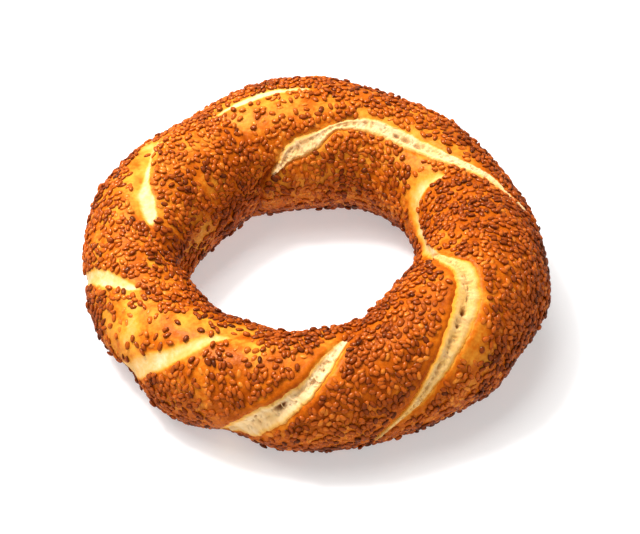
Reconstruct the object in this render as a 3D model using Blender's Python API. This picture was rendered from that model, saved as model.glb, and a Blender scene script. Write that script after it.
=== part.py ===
"""A simit: a ring of bread twisted from ropes of dough, which splits along the twist as it bakes.

The ring starts as a torus. Each of its points keeps two angles: the ring angle, counted round the
ring from +X, and the section angle, counted round the rope from its outer side (0) over the top (90)
to the inner side (180). The point is then moved out to the uneven rope, down into the seams of the
twist, and the part of the rope that sank flat on the tray is cut away.
"""

import bpy
import numpy as np

MM = 0.001

# Driving dimensions, in millimetres and degrees.
SINK = 0.86                 # height of the rope's middle above the tray, in rope radii
RING_CELLS = 130            # faces round the ring
SECTION_CELLS = 40          # faces round the rope
MESH_TURNS = 1              # turns that the rows of faces take round the rope, to follow its seams

# The uneven rope: the radius of its middle line and half its thickness, every 30 degrees of ring angle.
MIDDLE_LINE = (59, 61, 63, 62, 61, 61, 61, 59, 57, 57, 56, 58)
HALF_THICKNESS = (24, 22, 23, 25, 24, 23, 20, 19, 20, 20, 22, 25)

# Lobes that swelled (or stayed slack) as the bread rose: ring angle, section angle, reach and height.
SWELLS = (
    (102, 48, 14, 1.5),
    (126, 50, 11, -2.5),
    (88, 45, 12, 1),
    (50, 40, 13, 1.5),
    (350, -10, 9, 1.5),
    (332, -27, 10, -1.5),
    (322, -30, 8, 1),
    (249, -40, 10, -2.5),
    (230, -36, 9, 1.5),
    (213, -30, 10, -2),
    (160, 19, 12, 1),
    (276, 128, 15, 1.5),
    (202, 150, 9, 1),
    (179, 174, 9, -4),
    (181, 186, 7, -1.5),
    (40, 210, 9, -1),
    (8, 188, 13, -1.5),
    (98, 222, 14, -1),
    (66, 218, 14, -2.5),
)

CREASE_REACH = 5.0          # how far from a seam the dough rolls down into it
CREASE_ROUNDING = 2.0       # radius of the crease's bottom
LAP_REACH = 7.0             # how far from a seam the lapping lobe stands proud of its neighbour
LAP_EDGE = 2.5              # how softly the lapping lobe's edge rolls over
FULL_GAPE = 4.5             # half width of a split that has its full depth
NARROWEST = 1.8             # half width that a split's trough never falls under
SEAM_STEP = 1.0             # spacing of the samples along a seam

# The seams of the twist: how deep the crease is, how much deeper the split is where it gapes, and how
# far the lobe on the left of the line stands over the one on its right. Each point has a ring angle, a
# section angle and the half width of the split, which is 0 where the seam is only a crease.
SEAMS = {
    "front_split": (1.6, 1.9, 0.0, (
        (245, -50, 2), (250, -25, 4.5), (255, 3, 5), (263, 30, 4), (270, 56, 3), (276, 83, 2.5),
        (281, 98, 1.5), (286, 112, 0), (296, 140, 0), (312, 200, 0))),
    "front_right_split": (1.4, 1.3, 0.0, (
        (283, -38, 0), (291, -6, 1), (297, 12, 2), (303, 30, 3), (313, 53, 4), (321, 67, 4.5),
        (328, 80, 4), (333, 93, 3.5), (336, 112, 2), (344, 140, 0), (353, 158, 0))),
    "knob_seam": (1.2, 0.4, -2.0, (
        (336, 112, 0.5), (343, 130, 1), (354, 146, 1.5), (8, 156, 1.5), (20, 159, 2), (28, 154, 2),
        (32, 138, 2), (32, 122, 1.5), (30, 110, 1), (29, 102, 0))),
    "back_split": (1.4, 1.1, 0.5, (
        (7, 36, 0.5), (14, 52, 1.5), (22, 66, 2.5), (32, 87, 2.5), (42, 100, 3), (53, 107, 3.5),
        (65, 109, 3.5), (74, 114, 2.5), (81, 121, 1.5), (87, 131, 3), (95, 139, 4), (101, 144, 3),
        (106, 154, 1), (113, 166, 0))),
    "inner_crease": (3.6, 1.6, 1.4, (
        (104, 148, 0), (110, 155, 0.5), (115, 168, 0.5), (116, 190, 0.5), (116, 220, 0.5), (117, 245, 0))),
    "outer_seam": (0.6, 0.3, 0.0, (
        (52, -30, 0), (66, 15, 0), (80, 65, 0), (87, 79, 0), (94, 77, 1), (101, 76, 1), (108, 76, 1.5),
        (115, 77, 1), (122, 76, 0.5), (127, 77, 0))),
    "lap_seam": (2.0, 0.0, -1.6, (
        (127, 78, 0), (122, 90, 0), (119, 106, 0), (117, 122, 0), (111, 140, 0), (110, 162, 0))),
    "upper_left_seam": (1.2, 0.6, 1.0, (
        (115, -34, 0), (123, -4, 0), (132, 34, 0), (140, 58, 0.5), (149, 74, 0.5), (157, 84, 1),
        (163, 90, 2), (167, 97, 2.5), (172, 104, 2), (176, 110, 0), (182, 130, 0), (190, 175, 0),
        (196, 205, 0))),
    "left_seam": (0.9, 0.4, 0.3, (
        (176, -50, 0), (179, -30, 0.5), (183, 0, 1.5), (187, 22, 2), (191, 42, 2.5), (196, 60, 2),
        (200, 71, 1), (206, 90, 0), (216, 115, 0), (226, 145, 0), (238, 185, 0))),
    "lower_left_seam": (0.8, 0.4, 0.0, (
        (207, -40, 0), (213, -15, 1.5), (218, 0, 2.5), (222, 20, 3), (226, 35, 2.5), (230, 51, 2),
        (234, 70, 1.5), (238, 86, 1), (245, 100, 0), (254, 117, 0), (264, 142, 0), (276, 180, 0))),
}

CRUST_COLOUR = (0.62, 0.25, 0.06, 1.0)
CRUST_ROUGHNESS = 0.5


def clear_scene():
    """Remove every object that the new file starts with."""
    for thing in list(bpy.data.objects):
        bpy.data.objects.remove(thing, do_unlink=True)


def new_collection(name):
    """Make a collection in the scene."""
    collection = bpy.data.collections.new(name)
    bpy.context.scene.collection.children.link(collection)
    return collection


def move_to(collection, thing):
    """Put an object in one collection only."""
    for old in list(thing.users_collection):
        old.objects.unlink(thing)
    collection.objects.link(thing)


def crust_material():
    """The baked crust: a brown orange, half matt."""
    material = bpy.data.materials.new("crust")
    material.use_nodes = True
    shader = material.node_tree.nodes["Principled BSDF"]
    shader.inputs["Base Color"].default_value = CRUST_COLOUR
    shader.inputs["Roughness"].default_value = CRUST_ROUGHNESS
    shader.inputs["Metallic"].default_value = 0.0
    return material


def round_the_ring(stations, ring):
    """A smooth closed curve through equally spaced stations, read at ring angles in radians.

    It is the sum of the waves that the stations hold, so it has no start and no end.
    """
    waves = np.fft.rfft(stations) / len(stations)
    total = np.full(np.shape(ring), waves[0].real)
    for order in range(1, len(waves)):
        share = 1.0 if 2 * order == len(stations) else 2.0
        total = total + share * (waves[order] * np.exp(1j * order * ring)).real
    return total


def rope(ring, section, outset=0.0):
    """Points of the plain uneven rope, in millimetres, with an outset from its surface."""
    half = round_the_ring(HALF_THICKNESS, ring)
    reach = round_the_ring(MIDDLE_LINE, ring) + (half + outset) * np.cos(section)
    height = SINK * half + (half + outset) * np.sin(section)
    return np.stack([reach * np.cos(ring), reach * np.sin(ring), height], axis=-1)


def through_points(points, count):
    """A Catmull-Rom curve through points, as an array of count samples."""
    points = np.asarray(points, dtype=float)
    padded = np.vstack([2 * points[0] - points[1], points, 2 * points[-1] - points[-2]])
    place = np.linspace(0, len(points) - 1, count)
    piece = np.minimum(place.astype(int), len(points) - 2)
    t = (place - piece)[:, None]
    a, b, c, d = (padded[piece + k] for k in range(4))
    return 0.5 * (2 * b + (c - a) * t + (2 * a - 5 * b + 4 * c - d) * t ** 2
                  + (3 * b - a - 3 * c + d) * t ** 3)


def unwrapped(points):
    """Seam points whose ring angles never jump back past a full turn."""
    points = np.array(points, dtype=float)
    points[:, 0] = np.degrees(np.unwrap(np.radians(points[:, 0])))
    return points


def seam_samples(points):
    """Places along a seam: points on the rope, directions across it to the left, and half widths."""
    rough = through_points(unwrapped(points), 40)
    length = np.linalg.norm(np.diff(rope(*np.radians(rough[:, :2]).T), axis=0), axis=1).sum()
    fine = through_points(unwrapped(points), int(length / SEAM_STEP))
    ring, section = np.radians(fine[:, :2]).T
    place = rope(ring, section)
    ahead = np.gradient(place, axis=0)
    outward = rope(ring, section, 1.0) - place
    left = np.cross(outward, ahead)
    left /= np.linalg.norm(left, axis=1)[:, None]
    return place, left, np.maximum(fine[:, 2], 0.0)


def ease(value):
    """A smooth step from 0 to 1."""
    value = np.clip(value, 0.0, 1.0)
    return value * value * (3 - 2 * value)


def seam_relief(place, seam):
    """How deep one seam lies under each place, and how far its lapping lobe lifts it."""
    crease, split, lap, points = seam
    middle, left, gape = seam_samples(points)
    apart = place[:, None, :] - middle[None, :, :]
    nearest = (apart ** 2).sum(axis=2).argmin(axis=1)
    apart = apart[np.arange(len(place)), nearest]
    gap = np.linalg.norm(apart, axis=1)
    side = (apart * left[nearest]).sum(axis=1)
    along = nearest / (len(middle) - 1)
    fade = ease(along / 0.12) * ease((1 - along) / 0.12)
    width = gape[nearest]
    rolled = np.hypot(gap, CREASE_ROUNDING) - CREASE_ROUNDING
    depth = crease * fade * np.exp(-rolled / CREASE_REACH)
    open_share = np.sqrt(np.minimum(width / FULL_GAPE, 1.0))
    edge = np.maximum(width, NARROWEST)
    depth = depth + split * open_share * (1 - ease((gap / edge - 0.4) / 1.1))
    lift = lap * fade * np.tanh(side / LAP_EDGE) * np.exp(-gap / LAP_REACH) / 2
    return depth, lift


def swell_relief(place):
    """How far the swollen and slack lobes move the surface out."""
    lifts = np.zeros(len(place))
    for ring, section, reach, height in SWELLS:
        middle = rope(np.radians(ring), np.radians(section))
        apart = np.linalg.norm(place - middle, axis=1)
        lifts = lifts + height * np.exp(-(apart / reach) ** 2)
    return lifts


def relief(place):
    """Height of the surface over the plain rope: the deepest seam counts, and every lap does."""
    deepest = np.zeros(len(place))
    lifts = swell_relief(place)
    for seam in SEAMS.values():
        depth, lift = seam_relief(place, seam)
        deepest = np.maximum(deepest, depth)
        lifts = lifts + lift
    return lifts - deepest


def shape_ring(mesh):
    """Move the torus's vertices out to the twisted rope, and centre its outline on the origin."""
    start = np.empty(3 * len(mesh.vertices))
    mesh.vertices.foreach_get("co", start)
    x, y, z = start.reshape(-1, 3).T
    ring = np.arctan2(y, x)
    section = np.arctan2(z, np.hypot(x, y) - 1.0) + MESH_TURNS * ring
    plain = rope(ring, section)
    shaped = rope(ring, section, relief(plain))
    middle = (shaped.max(axis=0) + shaped.min(axis=0)) / 2
    shaped[:, :2] -= middle[:2]
    mesh.vertices.foreach_set("co", (shaped * MM).ravel())
    mesh.update()


def tray_cutter(collection):
    """A block whose top is the tray that the ring rests on."""
    bpy.ops.mesh.primitive_cube_add(size=1.0, location=(0, 0, -0.02))
    cutter = bpy.context.object
    cutter.name = "tray_cutter"
    cutter.scale = (0.3, 0.3, 0.04)
    cutter.hide_render = True
    cutter.display_type = "WIRE"
    move_to(collection, cutter)
    return cutter


def bread_ring(collection, cutter):
    """The baked ring, with its underside flat where it lay on the tray."""
    bpy.ops.mesh.primitive_torus_add(
        major_radius=1.0, minor_radius=0.3, major_segments=RING_CELLS, minor_segments=SECTION_CELLS)
    ring = bpy.context.object
    ring.name = "bread_ring"
    shape_ring(ring.data)
    ring.data.shade_smooth()
    ring.data.materials.append(crust_material())
    cut = ring.modifiers.new("flat underside", "BOOLEAN")
    cut.operation = "DIFFERENCE"
    cut.solver = "EXACT"
    cut.object = cutter
    move_to(collection, ring)
    return ring


def main():
    """Build the simit."""
    clear_scene()
    parts = new_collection("simit")
    cutters = new_collection("cutters")
    bread_ring(parts, tray_cutter(cutters))


main()
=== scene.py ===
"""The looks of a simit: its baked crust, the torn crumb in its splits and its coat of sesame seeds.

Every surface is worked out from two angles: the ring angle, counted round the ring from +X, and the
section angle, counted round the rope from its outer side (0) over the top (90) to the inner side (180).
Shapes are computed in millimetres and stored in metres.
"""

import itertools
import math

import bpy
import numpy as np
from bpy.props import FloatProperty, FloatVectorProperty, IntProperty, PointerProperty
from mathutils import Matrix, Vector


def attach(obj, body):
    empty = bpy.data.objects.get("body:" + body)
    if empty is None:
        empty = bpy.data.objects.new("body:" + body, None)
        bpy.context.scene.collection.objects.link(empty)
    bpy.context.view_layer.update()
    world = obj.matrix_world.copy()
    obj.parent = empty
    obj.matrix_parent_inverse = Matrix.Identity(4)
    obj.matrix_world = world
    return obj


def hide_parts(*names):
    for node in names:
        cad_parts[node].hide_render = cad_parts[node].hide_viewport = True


bl_info = {
    "name": "Simit",
    "version": (1, 0, 0),
    "blender": (4, 5, 0),
    "location": "View3D > Sidebar > Simit",
    "description": "Makes the crust, the crumb and the sesame seeds of a twisted bread ring",
    "category": "Add Mesh",
}

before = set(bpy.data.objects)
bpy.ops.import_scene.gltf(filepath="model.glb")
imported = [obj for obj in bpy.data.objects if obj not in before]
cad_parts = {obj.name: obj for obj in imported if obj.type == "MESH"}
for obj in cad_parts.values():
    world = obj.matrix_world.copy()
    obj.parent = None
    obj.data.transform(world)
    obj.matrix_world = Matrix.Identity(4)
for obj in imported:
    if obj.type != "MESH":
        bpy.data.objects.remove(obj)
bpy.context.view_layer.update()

MM = 0.001
TURN = 2 * math.pi

# The uneven rope, in millimetres: the radius of its middle line and half its thickness, every 30
# degrees of ring angle, and the height of its middle above the tray in rope radii.
SINK = 0.86
MIDDLE_LINE = (59, 61, 63, 62, 61, 61, 61, 59, 57, 57, 56, 58)
HALF_THICKNESS = (24, 22, 23, 25, 24, 23, 20, 19, 20, 20, 22, 25)

# Lobes that swelled or stayed slack as the bread rose: ring angle, section angle, reach and height.
SWELLS = (
    (102, 48, 14, 1.5),
    (126, 50, 11, -2.5),
    (88, 45, 12, 1),
    (50, 40, 13, 1.5),
    (350, -10, 9, 1.5),
    (332, -27, 10, -1.5),
    (322, -30, 8, 1),
    (249, -40, 10, -2.5),
    (230, -36, 9, 1.5),
    (213, -30, 10, -2),
    (160, 19, 12, 1),
    (276, 128, 15, 1.5),
    (202, 150, 9, 1),
    (179, 174, 9, -4),
    (181, 186, 7, -1.5),
    (40, 210, 9, -1),
    (8, 188, 13, -1.5),
    (98, 222, 14, -1),
    (66, 218, 14, -2.5),
)

CREASE_REACH = 5.0          # how far from a seam the dough rolls down into it
CREASE_ROUNDING = 1.2       # radius of the crease's bottom
LAP_REACH = 7.0             # how far from a seam the lapping lobe stands proud of its neighbour
LAP_EDGE = 1.3              # how softly the lapping lobe's edge rolls over
FULL_GAPE = 4.5             # half width of a split that has its full depth
NARROWEST = 1.0             # half width that a split's trough never falls under
SEAM_STEP = 0.5             # spacing of the samples along a seam

# The seams of the twist: how deep the crease is, how much deeper the split is where it gapes, and how
# far the lobe on the left of the line stands over the one on its right. Each point has a ring angle, a
# section angle and the half width of the split, which is 0 where the seam is only a crease.
SEAMS = {
    "front_split": (1.6, 1.9, 0.0, (
        (245, -50, 2), (250, -25, 4.5), (255, 3, 5), (263, 30, 4), (270, 56, 3), (276, 83, 2.5),
        (281, 98, 1.5), (286, 112, 0), (296, 140, 0), (312, 200, 0))),
    "front_right_split": (1.4, 1.3, 0.0, (
        (283, -38, 0), (291, -6, 1), (297, 12, 2), (303, 30, 3), (313, 53, 4), (321, 67, 4.5),
        (328, 80, 4), (333, 93, 3.5), (336, 112, 2), (344, 140, 0), (353, 158, 0))),
    "knob_seam": (1.2, 0.4, -2.0, (
        (336, 112, 0.5), (343, 130, 1), (354, 146, 1.5), (8, 156, 1.5), (20, 159, 2), (28, 154, 2),
        (32, 138, 2), (32, 122, 1.5), (30, 110, 1), (29, 102, 0))),
    "back_split": (1.4, 1.1, 0.5, (
        (7, 36, 0.5), (14, 52, 1.5), (22, 66, 2.5), (32, 87, 2.5), (42, 100, 3), (53, 107, 3.5),
        (65, 109, 3.5), (74, 114, 2.5), (81, 121, 1.5), (87, 131, 3), (95, 139, 4), (101, 144, 3),
        (106, 154, 1), (113, 166, 0))),
    "inner_crease": (3.6, 1.6, 1.4, (
        (104, 148, 0), (110, 155, 0.5), (115, 168, 0.5), (116, 190, 0.5), (116, 220, 0.5), (117, 245, 0))),
    "outer_seam": (0.6, 0.3, 0.0, (
        (52, -30, 0), (66, 15, 0), (80, 65, 0), (87, 79, 0), (94, 77, 1), (101, 76, 1), (108, 76, 1.5),
        (115, 77, 1), (122, 76, 0.5), (127, 77, 0))),
    "lap_seam": (2.0, 0.0, -1.6, (
        (127, 78, 0), (122, 90, 0), (119, 106, 0), (117, 122, 0), (111, 140, 0), (110, 162, 0))),
    "upper_left_seam": (1.2, 0.6, 1.0, (
        (115, -34, 0), (123, -4, 0), (132, 34, 0), (140, 58, 0.5), (149, 74, 0.5), (157, 84, 1),
        (163, 90, 2), (167, 97, 2.5), (172, 104, 2), (176, 110, 0), (182, 130, 0), (190, 175, 0),
        (196, 205, 0))),
    "left_seam": (0.9, 0.4, 0.3, (
        (176, -50, 0), (179, -30, 0.5), (183, 0, 1.5), (187, 22, 2), (191, 42, 2.5), (196, 60, 2),
        (200, 71, 1), (206, 90, 0), (216, 115, 0), (226, 145, 0), (238, 185, 0))),
    "lower_left_seam": (0.8, 0.4, 0.0, (
        (207, -40, 0), (213, -15, 1.5), (218, 0, 2.5), (222, 20, 3), (226, 35, 2.5), (230, 51, 2),
        (234, 70, 1.5), (238, 86, 1), (245, 100, 0), (254, 117, 0), (264, 142, 0), (276, 180, 0))),
}

# How each split's edges baked, on the left and on the right: how far the crust stays bare of seeds
# beyond the gap, how far it pales towards the gap, how gently the dough slopes down into the gap, and how
# much browner the bare lip is; then how brown the gap itself is, which in the inner crease is painted shade.
EDGES = {
    "front_split": (3.0, 1.4, 0.8, 1.5, 0.0, 1.2, 0.06, 0.0, 0.04),
    "front_right_split": (2.4, 1.6, 1.2, 1.3, 0.3, 0.8, 0.08, 0.03, 0.15),
    "knob_seam": (3.0, 0.0, 4.4, 0.4, 3.0, 0.0, -0.04, 0.0, 0.12),
    "back_split": (0.2, 0.8, 0.8, 1.8, 0.5, 1.5, 0.0, 0.0, 0.06),
    # The inner crease's dark gap value is painted shade down in that deep crease.
    "inner_crease": (0.0, 0.0, 0.4, 0.4, 0.0, 0.0, 0.0, 0.0, 0.80),
    "outer_seam": (0.8, 0.6, 1.2, 1.0, 1.5, 1.5, 0.0, 0.0, 0.04),
    "lap_seam": (0.0, 0.0, 0.3, 0.3, 0.0, 0.0, 0.0, 0.0, 0.3),
    "upper_left_seam": (1.0, 2.6, 0.4, 1.6, 0.0, 5.0, 0.0, -0.06, 0.05),
    "left_seam": (0.6, 0.4, 1.5, 1.0, 1.0, 1.0, 0.0, 0.0, 0.09),
    "lower_left_seam": (1.2, 0.7, 2.6, 1.4, 2.0, 2.0, -0.04, 0.0, 0.15),
}

# The splits whose crumb lies open, and how far the crust dives away under it.
TORN = ("front_split", "front_right_split", "back_split")
UNDER_CRUMB = 2.6
CRUMB_COVER = 0.86          # share of a torn gap's half width that the crumb surely covers

# Patches where the coat of seeds is thinner (or thicker) and the crust paler (or browner): ring angle,
# section angle, reach, how bare it is and the change in browning.
PATCHES = (
    (207, 45, 10, 0.46, -0.10),
    (214, 48, 3.5, 0.4, -0.16),
    (214, 64, 6, 0.5, -0.03),
    (213, 24, 6, 0.5, -0.09),
    (222, 72, 6, 1.0, 0.00),
    (229, 82, 5, 0.9, -0.02),
    (254, 83, 5.5, 0.8, -0.10),
    (242, 98, 5, 0.9, -0.14),
    (279, 91, 4, 1.0, -0.16),
    (240, 55, 16, 0.28, -0.03),
    (190, 75, 22, 0.12, 0.0),
    (170, 45, 24, 0.16, -0.01),
    (252, 45, 22, 0.0, 0.07),
    (290, 50, 18, 0.0, 0.07),
    (180, 40, 20, 0.0, 0.03),
    (150, 115, 16, -0.18, 0.02),
    (88, 95, 8, 0.3, 0.02),
    (100, 100, 9, 0.35, 0.0),
    (112, 103, 8, 0.5, -0.02),
    (100, 125, 6, -0.3, 0.04),
    (143, 60, 4.5, 1.2, -0.16),
    (150, 67, 4.5, 1.3, -0.08),
    (158, 74, 4, 1.0, -0.04),
    (165, 83, 3, 1.2, -0.08),
    (145, 135, 5, 0.7, -0.06),
    (160, 172, 7, 0.6, -0.10),
    (116, 152, 6, 0.5, 0.04),
    (29, 72, 3.0, 1.4, -0.05),
    (36, 83, 3.0, 1.6, -0.08),
    (44, 93, 3.0, 1.6, -0.08),
    (52, 98, 3.0, 1.5, -0.06),
    (61, 99, 3.0, 1.1, -0.04),
    (70, 101, 3.0, 1.0, -0.03),
    (78, 60, 15, 0.16, -0.02),
    (55, 70, 10, 0.14, -0.03),
    (85, 172, 22, 0.10, -0.08),
    (125, 172, 12, -0.10, 0.03),
    (38, 125, 8, 0.6, -0.08),
    (50, 128, 7, 0.3, -0.04),
    (30, 168, 6, 0.8, -0.06),
    (350, 120, 7, 0.4, -0.06),
    (316, 40, 6, 1.3, 0.02),
)

BASE_BROWNING = 0.54        # how brown the crust is away from seams and patches
SEED_COAT = 0.75            # how far the crust lies under the outside of its seeds


# ---------------------------------------------------------------- shared formulas


def ease(value):
    """A smooth step from 0 to 1."""
    value = np.clip(value, 0.0, 1.0)
    return value * value * (3 - 2 * value)


def round_the_ring(stations, ring):
    """A smooth closed curve through equally spaced stations, as the sum of the waves they hold."""
    waves = np.fft.rfft(stations) / len(stations)
    total = np.full(np.shape(ring), waves[0].real)
    for order in range(1, len(waves)):
        share = 1.0 if 2 * order == len(stations) else 2.0
        total = total + share * (waves[order] * np.exp(1j * order * ring)).real
    return total


def rope(ring, section, outset=0.0):
    """Points of the uneven rope: a circle of the local half thickness, carried round the ring."""
    half = round_the_ring(HALF_THICKNESS, ring)
    reach = round_the_ring(MIDDLE_LINE, ring) + (half + outset) * np.cos(section)
    height = SINK * half + (half + outset) * np.sin(section)
    return np.stack([reach * np.cos(ring), reach * np.sin(ring), height], axis=-1)


def through_points(points, count):
    """A Catmull-Rom curve through points, as an array of count samples."""
    points = np.asarray(points, dtype=float)
    padded = np.vstack([2 * points[0] - points[1], points, 2 * points[-1] - points[-2]])
    place = np.linspace(0, len(points) - 1, count)
    piece = np.minimum(place.astype(int), len(points) - 2)
    t = (place - piece)[:, None]
    a, b, c, d = (padded[piece + k] for k in range(4))
    return 0.5 * (2 * b + (c - a) * t + (2 * a - 5 * b + 4 * c - d) * t ** 2
                  + (3 * b - a - 3 * c + d) * t ** 3)


def lumps(points, size, seed):
    """Smooth unevenness from -1 to 1: random numbers at the corners of cubes, blended between them."""
    table = np.random.default_rng(seed).uniform(-1, 1, 4096)
    scaled = np.asarray(points) / size
    corner = np.floor(scaled).astype(np.int64)
    part = ease(scaled - corner)
    total = np.zeros(scaled.shape[:-1])
    for offset in itertools.product((0, 1), repeat=3):
        at = corner + offset
        index = (at[..., 0] * 73856093 ^ at[..., 1] * 19349663 ^ at[..., 2] * 83492791) % len(table)
        total += table[index] * np.where(offset, part, 1 - part).prod(axis=-1)
    return total


def ragged(length, seed):
    """The wandering of a torn edge, from -1 to 1: a sum of waves along its length in millimetres."""
    phases = np.random.default_rng(seed).uniform(0, TURN, 5)
    waves = ((13.0, 0.30), (6.1, 0.26), (3.3, 0.20), (1.9, 0.14), (1.1, 0.10))
    return sum(share * np.sin(TURN * length / wave + phase)
               for (wave, share), phase in zip(waves, phases))


# ---------------------------------------------------------------- seams


class Seam:
    """A seam laid on the rope, sampled at even steps along its length."""

    def __init__(self, name, order):
        self.name = name
        self.crease, self.split, self.lap, points = SEAMS[name]
        self.bare, self.pale, self.slope, self.tan = (EDGES[name][k:k + 2] for k in (0, 2, 4, 6))
        self.floor = EDGES[name][8]
        points = np.array(points, dtype=float)
        points[:, 0] = np.degrees(np.unwrap(np.radians(points[:, 0])))
        rough = through_points(points, 60)
        length = np.linalg.norm(np.diff(rope(*np.radians(rough[:, :2]).T), axis=0), axis=1).sum()
        fine = through_points(points, int(length / SEAM_STEP))
        self.ring, self.section = np.radians(fine[:, :2]).T
        self.place = rope(self.ring, self.section)
        steps = np.linalg.norm(np.diff(self.place, axis=0), axis=1)
        self.length = np.concatenate([[0.0], np.cumsum(steps)])
        ahead = np.gradient(self.place, axis=0)
        outward = rope(self.ring, self.section, 1.0) - self.place
        left = np.cross(outward, ahead)
        self.left = left / np.linalg.norm(left, axis=1)[:, None]
        self.width = np.maximum(fine[:, 2], 0.0)
        wander = 0.10 * self.width + 0.20 * np.minimum(self.width, 1.0)
        self.width_left = np.maximum(self.width + wander * ragged(self.length, 10 + order), 0.0)
        self.width_right = np.maximum(self.width + wander * ragged(self.length, 40 + order), 0.0)
        share = np.arange(len(self.place)) / (len(self.place) - 1)
        self.fade = ease(share / 0.12) * ease((1 - share) / 0.12)

    def nearest(self, place):
        """The index of the nearest sample, the gap to it and how far to the left of the line it is."""
        square = (self.place ** 2).sum(axis=1)[None, :] - 2 * place @ self.place.T
        index = square.argmin(axis=1)
        apart = place - self.place[index]
        gap = np.linalg.norm(apart, axis=1)
        side = (apart * self.left[index]).sum(axis=1)
        return index, gap, side


def make_seams():
    """Every seam of the twist."""
    return [Seam(name, order) for order, name in enumerate(SEAMS)]


def swell_relief(place):
    """How far the swollen and slack lobes move the surface out: a bell of height over distance."""
    lifts = np.zeros(len(place))
    for ring, section, reach, height in SWELLS:
        middle = rope(np.radians(ring), np.radians(section))
        lifts += height * np.exp(-(np.linalg.norm(place - middle, axis=1) / reach) ** 2)
    return lifts


def crust_fields(place, seams):
    """What the crust does at places on the plain rope.

    Height: the swells, plus every lap, minus the deepest seam. Each seam is a crease that decays with
    distance, and where it gapes a trough, with a rolled lip on a side that doesn't slope gently.
    Browning: pale in a gap and towards it, changed by the patches, with painted shade down along
    closed creases, and darker where seeds lie thick, partly an oily crust and partly painted shade between
    them. Bareness: how few seeds stick there.
    Sunk: how far the crust dives away under the open crumb.
    """
    deepest = np.zeros(len(place))
    lifts = swell_relief(place)
    pale = np.zeros(len(place))
    floor = np.zeros(len(place))
    bare = np.zeros(len(place))
    crease_shade = np.zeros(len(place))
    tan = np.zeros(len(place))
    sunk = np.zeros(len(place))
    for seam in seams:
        index, gap, side = seam.nearest(place)
        on_left = side > 0
        width = np.where(on_left, seam.width_left[index], seam.width_right[index])
        slope = np.where(on_left, *seam.slope)
        even_width = seam.width[index]
        fade = seam.fade[index]
        rolled = np.hypot(gap, CREASE_ROUNDING) - CREASE_ROUNDING
        depth = seam.crease * fade * np.exp(-rolled / CREASE_REACH)
        open_share = np.sqrt(np.minimum(even_width / FULL_GAPE, 1.0))
        edge = np.maximum(width, NARROWEST)
        depth += seam.split * open_share * (1 - ease((gap - 0.5 * edge) / (0.75 * edge + slope)))
        lip = np.exp(-((gap - 1.3 * edge - 0.4) / 1.1) ** 2) / (1 + slope)
        depth -= 0.2 * seam.split * open_share * lip
        lifts += seam.lap * fade * np.tanh(side / LAP_EDGE) * np.exp(-gap / LAP_REACH) / 2
        deepest = np.maximum(deepest, depth)
        opened = ease(even_width / 0.9)
        beyond = gap - width
        wide = opened * ease(even_width / 2.0)
        bare_reach = np.where(on_left, *seam.bare) * wide + 0.05
        pale_reach = np.where(on_left, *seam.pale) * wide + 0.05
        seedless = 1 - ease((beyond - 0.55 * bare_reach) / (0.6 * bare_reach + 0.4))
        bare = np.maximum(bare, 2.2 * opened * seedless)
        tan += np.where(on_left, *seam.tan) * opened * seedless
        if seam.name in TORN:
            sunk = np.maximum(sunk, UNDER_CRUMB * opened * ease((0.97 - gap / edge) / 0.25))
        past_crumb = gap - (CRUMB_COVER if seam.name in TORN else 1.0) * width
        share = opened * (1 - ease((past_crumb / pale_reach + 0.3) / 1.3)) ** 1.3
        floor = np.where(share > pale, seam.floor, floor)
        pale = np.maximum(pale, share)
        # Painted shade along seams that stay closed: darkest on the crease's line, fading within about a millimetre.
        crease_shade = np.maximum(crease_shade, (1 - opened) * fade * np.exp(-(gap / 1.3) ** 2))
    brown = np.full(len(place), BASE_BROWNING)
    for ring, section, reach, bareness, change in PATCHES:
        middle = rope(np.radians(ring), np.radians(section))
        share = np.exp(-(np.linalg.norm(place - middle, axis=1) / reach) ** 2)
        bare = bare + bareness * share
        brown = brown + change * share
    # Closed creases take painted shade; under thick seeds the crust is darker, partly an oily crust and partly
    # painted shade between the seeds.
    brown = np.maximum(brown + tan, 0.12) + 0.14 * crease_shade + 0.05 * ease((0.35 - bare) / 0.35)
    return lifts - deepest, brown, pale, floor, bare, sunk


def baked_and_shaded(ring, section):
    """How much browner than the middle the crust is made: more on the right, on the base and low down, and on the
    inner side; on the right and low down partly browner baking and partly painted shade.
    """
    # Painted shade in part: the right side and the underside lie away from the light.
    to_right = 0.5 + 0.5 * np.cos(ring + np.radians(25))
    low = ease((np.radians(-5) - wrapped(section)) / np.radians(35))
    inner = ease((wrapped(section) - np.radians(150)) / np.radians(60))
    return 0.08 * to_right - 0.06 + 0.20 * low + 0.06 * inner


def wrapped(section):
    """Section angles brought into the turn that starts under the outer side."""
    return (section + math.pi / 2) % TURN - math.pi / 2


# ---------------------------------------------------------------- meshes


def grid_faces(rows, columns, wrap_rows, wrap_columns):
    """Corner indices of a grid's faces, and each corner's place in the grid from 0 to 1."""
    across = np.arange(rows if wrap_rows else rows - 1)
    along = np.arange(columns if wrap_columns else columns - 1)
    i, j = np.meshgrid(across, along, indexing="ij")
    i, j = i.ravel(), j.ravel()
    corner_i = np.stack([i, i + 1, i + 1, i], axis=1)
    corner_j = np.stack([j, j, j + 1, j + 1], axis=1)
    faces = (corner_i % rows) * columns + corner_j % columns
    return faces, corner_i, corner_j


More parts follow.
